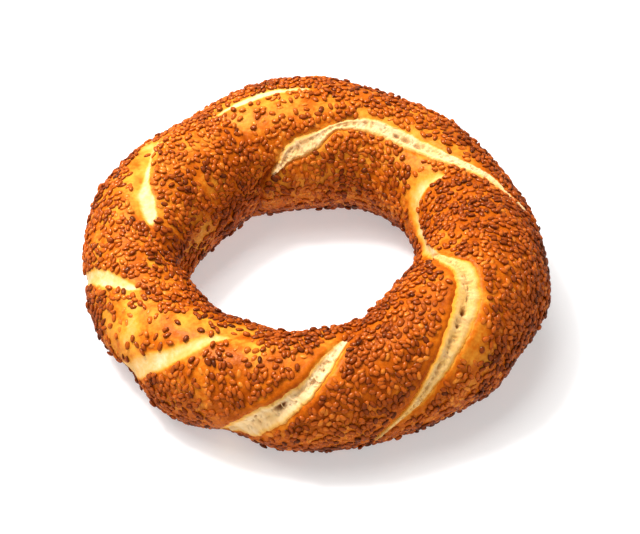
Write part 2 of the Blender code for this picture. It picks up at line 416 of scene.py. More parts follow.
def make_mesh(name, points, faces, corners, material, **attributes):
    """A smooth mesh piece from points in millimetres, with a bake map and named values per point."""
    mesh = bpy.data.meshes.new(name)
    mesh.from_pydata((points * MM).astype(np.float32), [], faces)
    layer = mesh.uv_layers.new(name="OFBake")
    layer.data.foreach_set("uv", np.asarray(corners, dtype=np.float32).ravel())
    for label, values in attributes.items():
        layer = mesh.attributes.new(label, "FLOAT", "POINT")
        layer.data.foreach_set("value", np.asarray(values, dtype=np.float32))
    mesh.polygons.foreach_set("use_smooth", np.ones(len(mesh.polygons), dtype=bool))
    mesh.materials.append(material)
    mesh.update()
    piece = bpy.data.objects.new(name, mesh)
    bpy.context.scene.collection.objects.link(piece)
    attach(piece, "root")
    return piece


# ---------------------------------------------------------------- materials


def new_group(name, inputs, outputs):
    """An empty shader node group with named inputs (name, kind, default) and outputs (name, kind)."""
    group = bpy.data.node_groups.new(name, "ShaderNodeTree")
    for label, kind, default in inputs:
        socket = group.interface.new_socket(label, in_out="INPUT", socket_type="NodeSocket" + kind)
        socket.default_value = default
    for label, kind in outputs:
        group.interface.new_socket(label, in_out="OUTPUT", socket_type="NodeSocket" + kind)
    return group, group.nodes.new("NodeGroupInput"), group.nodes.new("NodeGroupOutput")


def joined(tree, source, target):
    """Link one socket to another."""
    tree.links.new(source, target)


def calculate(tree, operation, first, second=None, third=None):
    """A Math node fed by sockets or numbers; returns its output."""
    node = tree.nodes.new("ShaderNodeMath")
    node.operation = operation
    for socket, value in zip(node.inputs, (first, second, third)):
        if value is None:
            continue
        if isinstance(value, (int, float)):
            socket.default_value = value
        else:
            tree.links.new(value, socket)
    return node.outputs[0]


def noise(tree, coordinates, scale, detail, roughness=0.55):
    """A noise pattern; returns its value output."""
    node = tree.nodes.new("ShaderNodeTexNoise")
    node.inputs["Detail"].default_value = detail
    node.inputs["Roughness"].default_value = roughness
    tree.links.new(coordinates, node.inputs["Vector"])
    if isinstance(scale, (int, float)):
        node.inputs["Scale"].default_value = scale
    else:
        tree.links.new(scale, node.inputs["Scale"])
    return node.outputs["Fac"]


def colour_steps(tree, value, steps):
    """A colour ramp through (position, colour) steps; returns its colour output."""
    node = tree.nodes.new("ShaderNodeValToRGB")
    ramp = node.color_ramp
    while len(ramp.elements) < len(steps):
        ramp.elements.new(0.5)
    for element, (position, colour) in zip(ramp.elements, steps):
        element.position = position
        element.color = (*colour, 1.0)
    tree.links.new(value, node.inputs["Fac"])
    return node.outputs["Color"]


def bake_tone_group(looks):
    """How dough colours as it bakes, painted shade included: a browning value, mottled at two scales, through the
    crust's tones.
    """
    name = "bake_tone"
    if name in bpy.data.node_groups:
        return bpy.data.node_groups[name]
    tree, given, put = new_group(
        name,
        (("Browning", "Float", 0.5), ("Mottling", "Float", 0.1)),
        (("Color", "Color"), ("Gloss", "Float")))
    place = tree.nodes.new("ShaderNodeTexCoord").outputs["Object"]
    broad = calculate(tree, "SUBTRACT", noise(tree, place, 150.0, 2.0), 0.5)
    fine = calculate(tree, "SUBTRACT", noise(tree, place, 700.0, 3.0), 0.5)
    both = calculate(tree, "ADD", calculate(tree, "MULTIPLY", broad, 1.6), fine)
    mottled = calculate(tree, "MULTIPLY_ADD", both, given.outputs["Mottling"], given.outputs["Browning"])
    tones = (
        (0.0, looks.cream), (0.16, looks.pale_yellow), (0.36, looks.golden), (0.56, looks.orange),
        (0.76, looks.deep_brown), (1.0, looks.scorched))
    joined(tree, colour_steps(tree, mottled, tones), put.inputs["Color"])
    gloss = calculate(tree, "MULTIPLY_ADD", mottled, -0.50, 0.60)
    joined(tree, gloss, put.inputs["Gloss"])
    return tree


def fine_grain_group():
    """A surface's smallest relief: noise with small blisters on it, as a height from 0 to 1."""
    name = "fine_grain"
    if name in bpy.data.node_groups:
        return bpy.data.node_groups[name]
    tree, given, put = new_group(
        name,
        (("Scale", "Float", 800.0), ("Blisters", "Float", 0.3)),
        (("Height", "Float"),))
    place = tree.nodes.new("ShaderNodeTexCoord").outputs["Object"]
    base = noise(tree, place, given.outputs["Scale"], 4.0)
    cells = tree.nodes.new("ShaderNodeTexVoronoi")
    cells.inputs["Randomness"].default_value = 1.0
    joined(tree, place, cells.inputs["Vector"])
    joined(tree, calculate(tree, "MULTIPLY", given.outputs["Scale"], 1.4), cells.inputs["Scale"])
    dome = calculate(tree, "SUBTRACT", 1.0, cells.outputs["Distance"])
    joined(tree, calculate(tree, "MULTIPLY_ADD", dome, given.outputs["Blisters"], base), put.inputs["Height"])
    return tree


def read_value(tree, name):
    """The output of a value stored on a piece's points."""
    node = tree.nodes.new("ShaderNodeAttribute")
    node.attribute_name = name
    return node.outputs["Fac"]


def new_material(name):
    """A node material, its tree and its shader."""
    material = bpy.data.materials.new(name)
    material.use_nodes = True
    return material, material.node_tree, material.node_tree.nodes["Principled BSDF"]


def place_group(tree, group, **values):
    """A group node with its inputs set from numbers or linked from sockets."""
    node = tree.nodes.new("ShaderNodeGroup")
    node.node_tree = group
    for label, value in values.items():
        if isinstance(value, (int, float)):
            node.inputs[label].default_value = value
        else:
            tree.links.new(value, node.inputs[label])
    return node


def bump(tree, shader, height, strength, distance):
    """A bump in the shader's normal; distance in metres."""
    node = tree.nodes.new("ShaderNodeBump")
    node.inputs["Strength"].default_value = strength
    node.inputs["Distance"].default_value = distance
    tree.links.new(height, node.inputs["Height"])
    tree.links.new(node.outputs["Normal"], shader.inputs["Normal"])


def crust_material(looks):
    """Baked crust: glossier where it is browner, painted shade included, with fine blisters."""
    material, tree, shader = new_material("baked_crust")
    tone = place_group(tree, bake_tone_group(looks), Browning=read_value(tree, "browning"), Mottling=0.30)
    joined(tree, tone.outputs["Color"], shader.inputs["Base Color"])
    joined(tree, tone.outputs["Gloss"], shader.inputs["Roughness"])
    grain = place_group(tree, fine_grain_group(), Scale=900.0, Blisters=0.35)
    bump(tree, shader, grain.outputs["Height"], 0.5, 0.0003)
    shader.inputs["Specular IOR Level"].default_value = 0.18
    shader.inputs["Specular Tint"].default_value = (*looks.glaze, 1.0)
    return material


def crumb_material(looks):
    """Torn crumb: matt and cream, with painted shade down in its pores and holes."""
    material, tree, shader = new_material("open_crumb")
    tone = place_group(tree, bake_tone_group(looks), Browning=read_value(tree, "browning"), Mottling=0.05)
    mix = tree.nodes.new("ShaderNodeMix")
    mix.data_type = "RGBA"
    joined(tree, read_value(tree, "pore"), mix.inputs["Factor"])
    joined(tree, tone.outputs["Color"], mix.inputs["A"])
    mix.inputs["B"].default_value = (*looks.pore, 1.0)
    joined(tree, mix.outputs["Result"], shader.inputs["Base Color"])
    grain = place_group(tree, fine_grain_group(), Scale=1500.0, Blisters=0.5)
    bump(tree, shader, grain.outputs["Height"], 0.5, 0.0003)
    shader.inputs["Roughness"].default_value = 0.8
    shader.inputs["Specular IOR Level"].default_value = 0.2
    shader.inputs["Subsurface Weight"].default_value = 0.15
    shader.inputs["Subsurface Radius"].default_value = (0.002, 0.0012, 0.0006)
    shader.inputs["Subsurface Scale"].default_value = 1.0
    return material


def seed_material(looks):
    """Toasted sesame: a tone for each seed, darker at its tip, with painted shade over its sides and underside and
    on seeds low down, and a thin oily gloss.
    """
    material, tree, shader = new_material("toasted_sesame")
    place = tree.nodes.new("ShaderNodeTexCoord").outputs["Object"]
    speck = calculate(tree, "SUBTRACT", noise(tree, place, 900.0, 2.0), 0.5)
    toast = calculate(tree, "MULTIPLY_ADD", speck, 0.22, read_value(tree, "toast"))
    steps = (
        (0.0, looks.seed_pale), (0.35, looks.seed_golden), (0.7, looks.seed_toasted), (1.0, looks.seed_dark))
    joined(tree, colour_steps(tree, toast, steps), shader.inputs["Base Color"])
    shader.inputs["Roughness"].default_value = 0.21
    shader.inputs["Specular IOR Level"].default_value = 0.60
    shader.inputs["Specular Tint"].default_value = (*looks.glaze, 1.0)
    return material


# ---------------------------------------------------------------- crust


class Crust:
    """The crust's grid: angles, points, normals and what each point does."""

    def __init__(self, sizes, seams):
        rows, shown, under = sizes.cells_round_ring, sizes.cells_round_rope, sizes.cells_on_base
        edge = np.radians(61.5)
        top = np.linspace(-edge, math.pi + edge, shown + 1)
        base = np.linspace(math.pi + edge, TURN - edge, under + 1)[1:-1]
        self.rings = np.arange(rows) * TURN / rows
        self.sections = np.concatenate([top, base])
        ring, section = np.meshgrid(self.rings, self.sections, indexing="ij")
        self.shape = ring.shape
        ring, section = ring.ravel(), section.ravel()
        plain = rope(ring, section)
        relief, brown, pale, floor, bare, sunk = crust_fields(plain, seams)
        relief += sizes.dough_unevenness / MM * (0.6 * lumps(plain, 11.0, 3) + 0.4 * lumps(plain, 5.0, 4))
        relief += 0.07 * lumps(plain, 2.2, 5) - SEED_COAT - sunk
        points = rope(ring, section, relief)
        on_tray = points[:, 2] < 0
        points[:, 2] = np.where(on_tray, 0.0, points[:, 2])
        # These values also carry painted shade: in closed creases, between thick seeds, and on the right side and
        # underside.
        brown = brown + baked_and_shaded(ring, section) + 0.05 * lumps(plain, 14.0, 6) + 0.05 * lumps(plain, 6.0, 7)
        brown = np.where(on_tray, 0.66 + 0.06 * lumps(plain, 7.0, 8), brown)
        self.browning = brown * (1 - pale) + floor * pale
        self.bareness = bare
        self.middle = (points.max(axis=0) + points.min(axis=0)) / 2
        self.points = points - self.middle * (1, 1, 0)
        self.find_normals()

    def find_normals(self):
        """Unit normals, from the cross product of the grid's two directions."""
        grid = self.points.reshape(*self.shape, 3)
        along = np.roll(grid, -1, axis=0) - np.roll(grid, 1, axis=0)
        around = np.roll(grid, -1, axis=1) - np.roll(grid, 1, axis=1)
        normal = np.cross(along, around)
        self.normals = (normal / np.linalg.norm(normal, axis=2)[..., None]).reshape(-1, 3)
        along = along / np.linalg.norm(along, axis=2)[..., None]
        self.alongs = along.reshape(-1, 3)

    def read(self, values, row, column):
        """Values of the grid's points, blended between the four corners round a place in the grid."""
        grid = values.reshape(*self.shape, -1)
        low_row, low_column = row.astype(int), column.astype(int)
        u, v = (row - low_row)[:, None], (column - low_column)[:, None]
        high_row, high_column = (low_row + 1) % self.shape[0], (low_column + 1) % self.shape[1]
        near = grid[low_row, low_column] * (1 - u) + grid[high_row, low_column] * u
        far = grid[low_row, high_column] * (1 - u) + grid[high_row, high_column] * u
        return near * (1 - v) + far * v


def bake_strips(corner_i, corner_j, rows, columns):
    """The crust's bake map: the ring cut in two halves that lie one over the other."""
    half = rows // 2
    second = (corner_i[:, :1] >= half)
    u = (corner_i - half * second) / half
    v = corner_j / columns
    return np.stack([0.005 + 0.99 * u, (v * 0.97 + 0.015 + second) / 2], axis=2).reshape(-1, 2)


def make_crust(sizes, looks, seams):
    """The crust piece: the rope's grid closed both ways, in place of the plain ring."""
    crust = Crust(sizes, seams)
    rows, columns = crust.shape
    faces, corner_i, corner_j = grid_faces(rows, columns, True, True)
    piece = make_mesh(
        "crust", crust.points, faces, bake_strips(corner_i, corner_j, rows, columns),
        crust_material(looks), browning=crust.browning)
    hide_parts("bread_ring")
    return crust


# ---------------------------------------------------------------- crumb


# How each torn crumb lies: how many pores it has for each square millimetre, how far across the gap they
# spread, how far it rises towards the right edge of the gap and towards the left, and how far it fills up.
CRUMB = {
    "front_split": (0.30, 0.42, 0.70, 0.25, 0.3),
    "front_right_split": (0.50, 0.20, 0.10, 0.70, 0.8),
    "back_split": (0.50, 0.42, 0.60, 0.50, 1.0),
}

# Threads of dough still stretched over the crumb: the seam, the ring angle there, where across the gap
# the thread starts and ends, how far it leans along the gap, half its thickness and its arch.
THREADS = (
    ("front_split", 272, 0.3, -0.85, -1.1, 0.22, 0.9),
    ("front_split", 270.5, 0.1, -0.8, 0.7, 0.15, 0.7),
    ("front_split", 265.5, 0.6, -0.2, 1.1, 0.15, 0.6),
    ("front_split", 263.5, 0.65, -0.1, -0.6, 0.13, 0.6),
    ("front_split", 261, 0.45, -0.25, 1.4, 0.1, 0.3),
    ("front_split", 276, 0.35, -0.6, 0.6, 0.12, 0.4),
    ("front_right_split", 318, 0.5, -0.3, 0.5, 0.1, 0.3),
    ("front_right_split", 309, 0.4, -0.5, -0.6, 0.1, 0.3),
    ("back_split", 50.5, 0.6, -0.55, 0.5, 0.12, 0.4),
    ("back_split", 95, 0.6, -0.5, -0.5, 0.12, 0.4),
)

# Larger holes torn in the crumb: the seam, the ring angle there, how far across the gap from -1 at its
# right edge to 1 at its left edge, half its length, half its width, its depth and how much painted shade darkens it.
HOLES = (
    ("front_split", 263, 0.3, 2.6, 1.1, 1.9, 1.0),
    ("front_split", 257, 0.5, 0.5, 0.4, 0.9, 0.8),
    ("front_split", 268, 0.4, 3.4, 1.0, 1.0, 0.2),
    ("front_split", 271, 0.0, 1.6, 0.9, 1.2, 0.35),
    ("front_split", 274, -0.1, 0.45, 0.35, 0.9, 0.7),
    ("front_right_split", 320, 0.1, 1.4, 1.0, 1.7, 1.0),
    ("front_right_split", 316, 0.15, 0.7, 0.7, 1.2, 0.9),
    ("front_right_split", 312, 0.2, 1.5, 0.9, 0.8, 0.35),
    ("front_right_split", 306, 0.15, 1.6, 0.7, 0.8, 0.35),
    ("front_right_split", 301, -0.1, 1.3, 0.5, 0.7, 0.35),
    ("front_right_split", 324, 0.0, 1.1, 0.45, 0.9, 0.45),
    ("front_right_split", 327, 0.0, 1.2, 0.4, 0.9, 0.5),
    ("front_right_split", 331, 0.05, 1.7, 0.4, 0.9, 0.45),
    ("back_split", 57, 0.0, 1.1, 0.7, 1.3, 0.9),
    ("back_split", 53, 0.0, 1.8, 1.0, 1.2, 0.6),
    ("back_split", 48, 0.15, 1.4, 0.9, 1.1, 0.6),
    ("back_split", 39, -0.2, 0.6, 0.4, 0.7, 0.45),
    ("back_split", 34, 0.0, 0.6, 0.4, 0.7, 0.45),
    ("back_split", 69, -0.3, 0.8, 0.5, 0.8, 0.4),
    ("back_split", 76, 0.15, 1.0, 0.5, 0.8, 0.4),
)


def open_stretch(seam):
    """First and last sample of the stretch where a seam gapes."""
    gaping = np.nonzero(seam.width > 0.35)[0]
    return gaping[0], gaping[-1]


def pore_field(length, across, half_width, crowd, spread, rng):
    """Depth and painted shade of pores scattered over a strip: small bowls, most of them near its middle,
    each pulled long in the direction that the crumb tore."""
    depth = np.zeros(length.shape)
    shade = np.zeros(length.shape)
    count = int(2 * half_width.mean() * np.ptp(length) * crowd)
    for _ in range(count):
        at = rng.uniform(length.min(), length.max())
        row = np.abs(length[:, 0] - at).argmin()
        off = np.clip(rng.normal(0, spread), -0.8, 0.8) * half_width[row]
        radius = min(0.15 + rng.gamma(1.5, 0.09), 0.55)
        stretch, turn = rng.uniform(1.0, 2.4), rng.normal(1.2, 0.5)
        rows = slice(max(row - 9, 0), row + 10)
        x, y = length[rows] - at, across[rows] - off
        along = (x * math.cos(turn) + y * math.sin(turn)) / (radius * stretch)
        aside = (y * math.cos(turn) - x * math.sin(turn)) / radius
        bowl = np.exp(-(along ** 2 + aside ** 2) ** 1.2)
        depth[rows] = np.maximum(depth[rows], bowl * radius * 1.2)
        shade[rows] = np.maximum(shade[rows], bowl * min(radius / 0.45, 1.0) * rng.uniform(0.15, 0.55))
    return depth, shade


def torn_holes(seam, order, ring, length, offset, widths):
    """Depth and painted shade of the larger holes: bowls with ragged rims."""
    depth = np.zeros(length.shape)
    shade = np.zeros(length.shape)
    for name, ring_angle, aside, half_long, half_wide, deep, dark in HOLES:
        if name != seam.name:
            continue
        row = np.abs((np.degrees(ring) - ring_angle + 180) % 360 - 180).argmin()
        middle = aside * widths[0 if aside > 0 else 1][row]
        wander = 0.45 * lumps(np.stack([length, offset, length * 0], axis=2), 0.7, 60 + order)
        bowl = ((length - length[row]) / half_long) ** 2 + ((offset - middle) / half_wide) ** 2
        bowl = np.exp(-np.maximum(bowl + wander * np.minimum(bowl, 1.0), 0) ** 1.5)
        depth = np.maximum(depth, deep * bowl)
        shade = np.maximum(shade, bowl * dark)
    return depth, shade


def torn_texture(length, offset, order):
    """Height of torn dough: broad swells, fibres pulled across the gap, and a fine crumb."""
    level = length * 0 + 9.0 * order
    broad = lumps(np.stack([length, offset * 0.7, level], axis=2), 2.6, 20)
    fibres = lumps(np.stack([length, offset * 0.28, level], axis=2), 0.95, 21)
    fine = lumps(np.stack([length, offset * 0.5, level], axis=2), 0.5, 22)
    return 0.30 * broad + 0.20 * fibres + 0.07 * fine


def crumb_strip(seam, order, sizes, seams, middle):
    """One gap's crumb: a strip along the seam that lies just over the crust's trough and dives under
    its lips, torn and pitted with pores, closed below by a shallow keel."""
    first, last = open_stretch(seam)
    crowd, spread, rise_right, rise_left, fill = CRUMB[seam.name]
    span = seam.length[last] - seam.length[first]
    cell = sizes.crumb_cell / MM
    rows = int(span / cell)
    along = np.linspace(seam.length[first], seam.length[last], rows)
    read = lambda values: np.interp(along, seam.length, values)
    widths = read(seam.width_left), read(seam.width_right)
    columns = int(2.5 * seam.width.max() / cell) + 1
    share = np.linspace(-1, 1, columns)
    reach = 1.25
    offset = reach * np.where(share > 0, widths[0][:, None] * share, widths[1][:, None] * share)
    length = np.repeat(along[:, None], columns, axis=1)
    ring0, section0 = read(seam.ring), read(seam.section)
    here = rope(ring0, section0)
    step = 1e-4
    by_ring = (rope(ring0 + step, section0) - here) / step
    by_section = (rope(ring0, section0 + step) - here) / step
    left = np.stack([read(seam.left[:, k]) for k in range(3)], axis=1)
    turn_ring = (left * by_ring).sum(axis=1) / (by_ring ** 2).sum(axis=1)
    turn_section = (left * by_section).sum(axis=1) / (by_section ** 2).sum(axis=1)
    ring = ring0[:, None] + turn_ring[:, None] * offset
    section = section0[:, None] + turn_section[:, None] * offset
    plain = rope(ring.ravel(), section.ravel())
    relief = crust_fields(plain, seams)[0].reshape(ring.shape)
    aside = np.abs(share) * reach
    over = 0.30 - 0.20 * ease((aside - 0.62) / 0.40) - 1.0 * ease((aside - 0.94) / 0.30)
    over = over + fill * ease((1.05 - aside) / 0.6)
    shelf = np.where(share < 0, rise_right, rise_left) * ease(aside / 0.9) * ease((1.20 - aside) / 0.40)
    end = ease((along - along[0]) / 2.5) * ease((along[-1] - along) / 2.5)
    gape = ease((widths[0] + widths[1]) / 5.0)
    over = (over + shelf * gape[:, None]) * (0.3 + 0.7 * end[:, None]) - 0.5 * (1 - end[:, None])
    rng = np.random.default_rng(100 + order)
    depth, shade = pore_field(length, offset, (widths[0] + widths[1]) / 2, crowd, spread, rng)
    hole_depth, hole_shade = torn_holes(seam, order, ring0, length, offset, widths)
    torn = torn_texture(length, offset, order) * (1 - 0.6 * ease((aside - 0.75) / 0.3))
    down = np.maximum(depth, hole_depth) - torn
    relief = relief - SEED_COAT + over - down * end[:, None] * (0.35 + 0.65 * gape[:, None])
    top = rope(ring, section, relief)
    browning = seam.floor + 0.24 * ease((aside - 0.55) / 0.50)
    # Raised torn dough is a little paler and its hollows a little darker: painted shade.
    browning = browning + 0.06 * lumps(plain, 3.0, 9).reshape(ring.shape) - 0.06 * torn
    keel_share = np.array([0.8, 0.0, -0.8])
    keel_offset = reach * np.where(keel_share > 0, widths[0][:, None], widths[1][:, None]) * keel_share
    keel_ring = ring0[:, None] + turn_ring[:, None] * keel_offset
    keel_section = section0[:, None] + turn_section[:, None] * keel_offset
    lowest = relief.min(axis=1)[:, None] - 1.0
    keel = rope(keel_ring, keel_section, np.repeat(lowest, 3, axis=1))
    grid = np.concatenate([top, keel], axis=1)
    values = np.concatenate([browning, np.full((rows, 3), seam.floor)], axis=1)
    shades = np.concatenate([np.maximum(shade, hole_shade), np.zeros((rows, 3))], axis=1)
    threads = make_threads(seam, ring0, cell, share * reach, top - middle * (1, 1, 0))
    return grid - middle * (1, 1, 0), values, shades, threads


def make_threads(seam, ring, cell, aside, top):
    """The stretched threads of one gap: each is a thin tube from one place on the crumb to another, whose
    line arches out by half a sine wave and whose ends sink into the crumb."""
    out = np.cross(np.gradient(top, axis=0), np.gradient(top, axis=1)).mean(axis=(0, 1))
    out *= np.sign(out[2]) / np.linalg.norm(out)
    threads = []
    for name, ring_angle, start, finish, lean, half, arch in THREADS:
        if name != seam.name:
            continue
        row = np.abs((np.degrees(ring) - ring_angle + 180) % 360 - 180).argmin()
        other = np.clip(row + int(lean / cell), 0, len(ring) - 1)
        first = top[row, np.abs(aside - start).argmin()]
        last = top[other, np.abs(aside - finish).argmin()]
        t = np.linspace(0, 1, 9)[:, None]
        line = first + (last - first) * t + out * (arch * np.sin(math.pi * t) - 0.15)
        ahead = (last - first) / np.linalg.norm(last - first)
        side = np.cross(ahead, out)
        side /= np.linalg.norm(side)
        up = np.cross(side, ahead)
        turn = np.arange(6) * TURN / 6
        ring_of_points = np.cos(turn)[:, None] * side + np.sin(turn)[:, None] * up
        thick = half * (1.5 - 0.7 * np.sin(math.pi * t))
        threads.append(line[:, None, :] + thick[:, :, None] * ring_of_points[None, :, ::1])
    return threads


def closed_strip(grid):
    """Faces of a grid that closes across and ends in a point at each end, with its end points."""
    rows, columns = grid.shape[:2]
    faces, corner_i, corner_j = grid_faces(rows, columns, False, True)
    tips = np.stack([grid[0].mean(axis=0), grid[-1].mean(axis=0)])
    start, finish = rows * columns, rows * columns + 1
    j = np.arange(columns)
    after = (j + 1) % columns
    front = np.stack([np.full(columns, start), j, after], axis=1)
    back = np.stack([np.full(columns, finish), (rows - 1) * columns + after, (rows - 1) * columns + j], axis=1)
    uv = np.stack([corner_i / (rows - 1), corner_j / columns], axis=2)
    front_uv = np.stack([np.zeros((columns, 3)), np.stack([j + 0.5, j, j + 1], axis=1) / columns], axis=2)
    back_uv = np.stack([np.ones((columns, 3)), np.stack([j + 0.5, j + 1, j], axis=1) / columns], axis=2)
    points = np.concatenate([grid.reshape(-1, 3), tips])
    return points, faces, np.concatenate([front, back]), uv, np.concatenate([front_uv, back_uv])


def make_crumb(sizes, looks, seams, middle):
    """The crumb piece: one closed strip for each seam that gapes, and its threads."""
    bodies = []
    for order, seam in enumerate(seams):
        if seam.name in CRUMB:
            grid, values, shades, threads = crumb_strip(seam, order, sizes, seams, middle)
            bodies.append((grid, values, shades, 1.0))
            bodies += [(thread, np.full(thread.shape[:2], seam.floor), np.zeros(thread.shape[:2]), 0.04)
                       for thread in threads]
    whole = sum(body[3] for body in bodies)
    points, quads, caps, quad_uv, cap_uv, browning, pore = [], [], [], [], [], [], []
    base, placed = 0, 0.0
    for grid, values, shades, share in bodies:
        strip, faces, ends, uv, end_uv = closed_strip(grid)
        points.append(strip)
        quads.append(faces + base)
        caps.append(ends + base)
        for store, map_uv in ((quad_uv, uv), (cap_uv, end_uv)):
            store.append((map_uv * (0.99, 0.94 * share / whole)
                          + (0.005, (placed + 0.03 * share) / whole)).reshape(-1, 2))
        browning += [values.ravel(), values[[0, -1]].mean(axis=1)]
        pore += [shades.ravel(), np.zeros(2)]
        base += len(strip)
        placed += share
    faces = np.concatenate(quads).tolist() + np.concatenate(caps).tolist()
    make_mesh(
        "crumb", np.concatenate(points), faces, np.concatenate(quad_uv + cap_uv),
        crumb_material(looks), browning=np.concatenate(browning), pore=np.concatenate(pore))


# ---------------------------------------------------------------- seeds


def seed_shape(around, along):
    """A sesame seed of unit length, width and thickness: a drop, round at one end and pointed at the
    other. Its half width is the place along it to the power 0.42, times the rest to the power 0.52."""
    place = (np.arange(along) + 1) / (along + 1)
    place = 0.5 - 0.5 * np.cos(math.pi * place)
    width = place ** 0.42 * (1 - place) ** 0.52
    width /= 2 * width.max()
    turn = np.arange(around) * TURN / around
    x = np.repeat(place[:, None] - 0.5, around, axis=1)
    y = width[:, None] * np.cos(turn)
    z = width[:, None] * np.sin(turn)
    body = np.stack([x, y, z], axis=2)
    return np.concatenate([body.reshape(-1, 3), [(-0.5, 0, 0), (0.5, 0, 0)]])


def seed_faces(around, along):
    """Quads and tip triangles of one seed, with each corner's place in the seed's own map."""
    faces, corner_i, corner_j = grid_faces(along, around, False, True)
    faces = faces[:, ::-1]
    uv = np.stack([(corner_i + 1) / (along + 1), corner_j / around], axis=2)[:, ::-1]
    j = np.arange(around)
    after = (j + 1) % around
    last = (along - 1) * around
    tip, tail = around * along, around * along + 1
    blunt = np.stack([np.full(around, tip), after, j], axis=1)
    sharp = np.stack([np.full(around, tail), last + j, last + after], axis=1)
    low, high = 1 / (along + 1), along / (along + 1)
    blunt_uv = np.stack([
        np.stack([j * 0.0, j * 0 + low, j * 0 + low], axis=1),
        np.stack([j + 0.5, j + 1.0, j + 0.0], axis=1) / around], axis=2)
    sharp_uv = np.stack([
        np.stack([j * 0 + 1.0, j * 0 + high, j * 0 + high], axis=1),
        np.stack([j + 0.5, j + 0.0, j + 1.0], axis=1) / around], axis=2)
    return faces, np.concatenate([blunt, sharp]), uv, np.concatenate([blunt_uv, sharp_uv])


class Coat:
    """Places of seeds that keep clear of each other, found by throwing seeds at the crust in a random
    order. A seed takes up three balls along its length, and sticks if no earlier seed is in its way."""

    def __init__(self, squeeze):
        self.cells = {}
        self.squeeze = squeeze
        self.cell = 2.0

    def sticks(self, middle, direction, length, width):
        """Keep a seed if it has room; says whether it was kept."""
        radius = width / 2
        reach = length / 2 - radius
        balls = [middle + direction * (reach * k) for k in (-1, 0, 1)]
        near = []
        for ball in balls:
            key = tuple(int(c // self.cell) for c in ball)
            near.append(key)
        seen = set(near)
        for key in set(near):
            for offset in itertools.product((-1, 0, 1), repeat=3):
                spot = (key[0] + offset[0], key[1] + offset[1], key[2] + offset[2])
                for other, other_radius in self.cells.get(spot, ()):
                    limit = (radius + other_radius) * self.squeeze
                    for ball in balls:
                        dx, dy, dz = ball[0] - other[0], ball[1] - other[1], ball[2] - other[2]
                        if dx * dx + dy * dy + dz * dz < limit * limit:
                            return False
        for key, ball in zip(near, balls):
            self.cells.setdefault(key, []).append((tuple(ball), radius))
        return True


def throw_places(crust, density, rng):
    """Random places on the crust, evenly by area, as rows and columns of its grid."""
    grid = crust.points.reshape(*crust.shape, 3)
    one = np.roll(grid, -1, axis=0) - grid
    two = np.roll(grid, -1, axis=1) - grid
    area = np.linalg.norm(np.cross(one, two), axis=2).ravel()
    total = np.cumsum(area)
    count = int(total[-1] * density)
    pick = np.searchsorted(total, rng.uniform(0, total[-1], count))
    pick = np.minimum(pick, len(area) - 1)
    row = pick // crust.shape[1] + rng.uniform(0, 1, count)
    column = pick % crust.shape[1] + rng.uniform(0, 1, count)
    return row, column


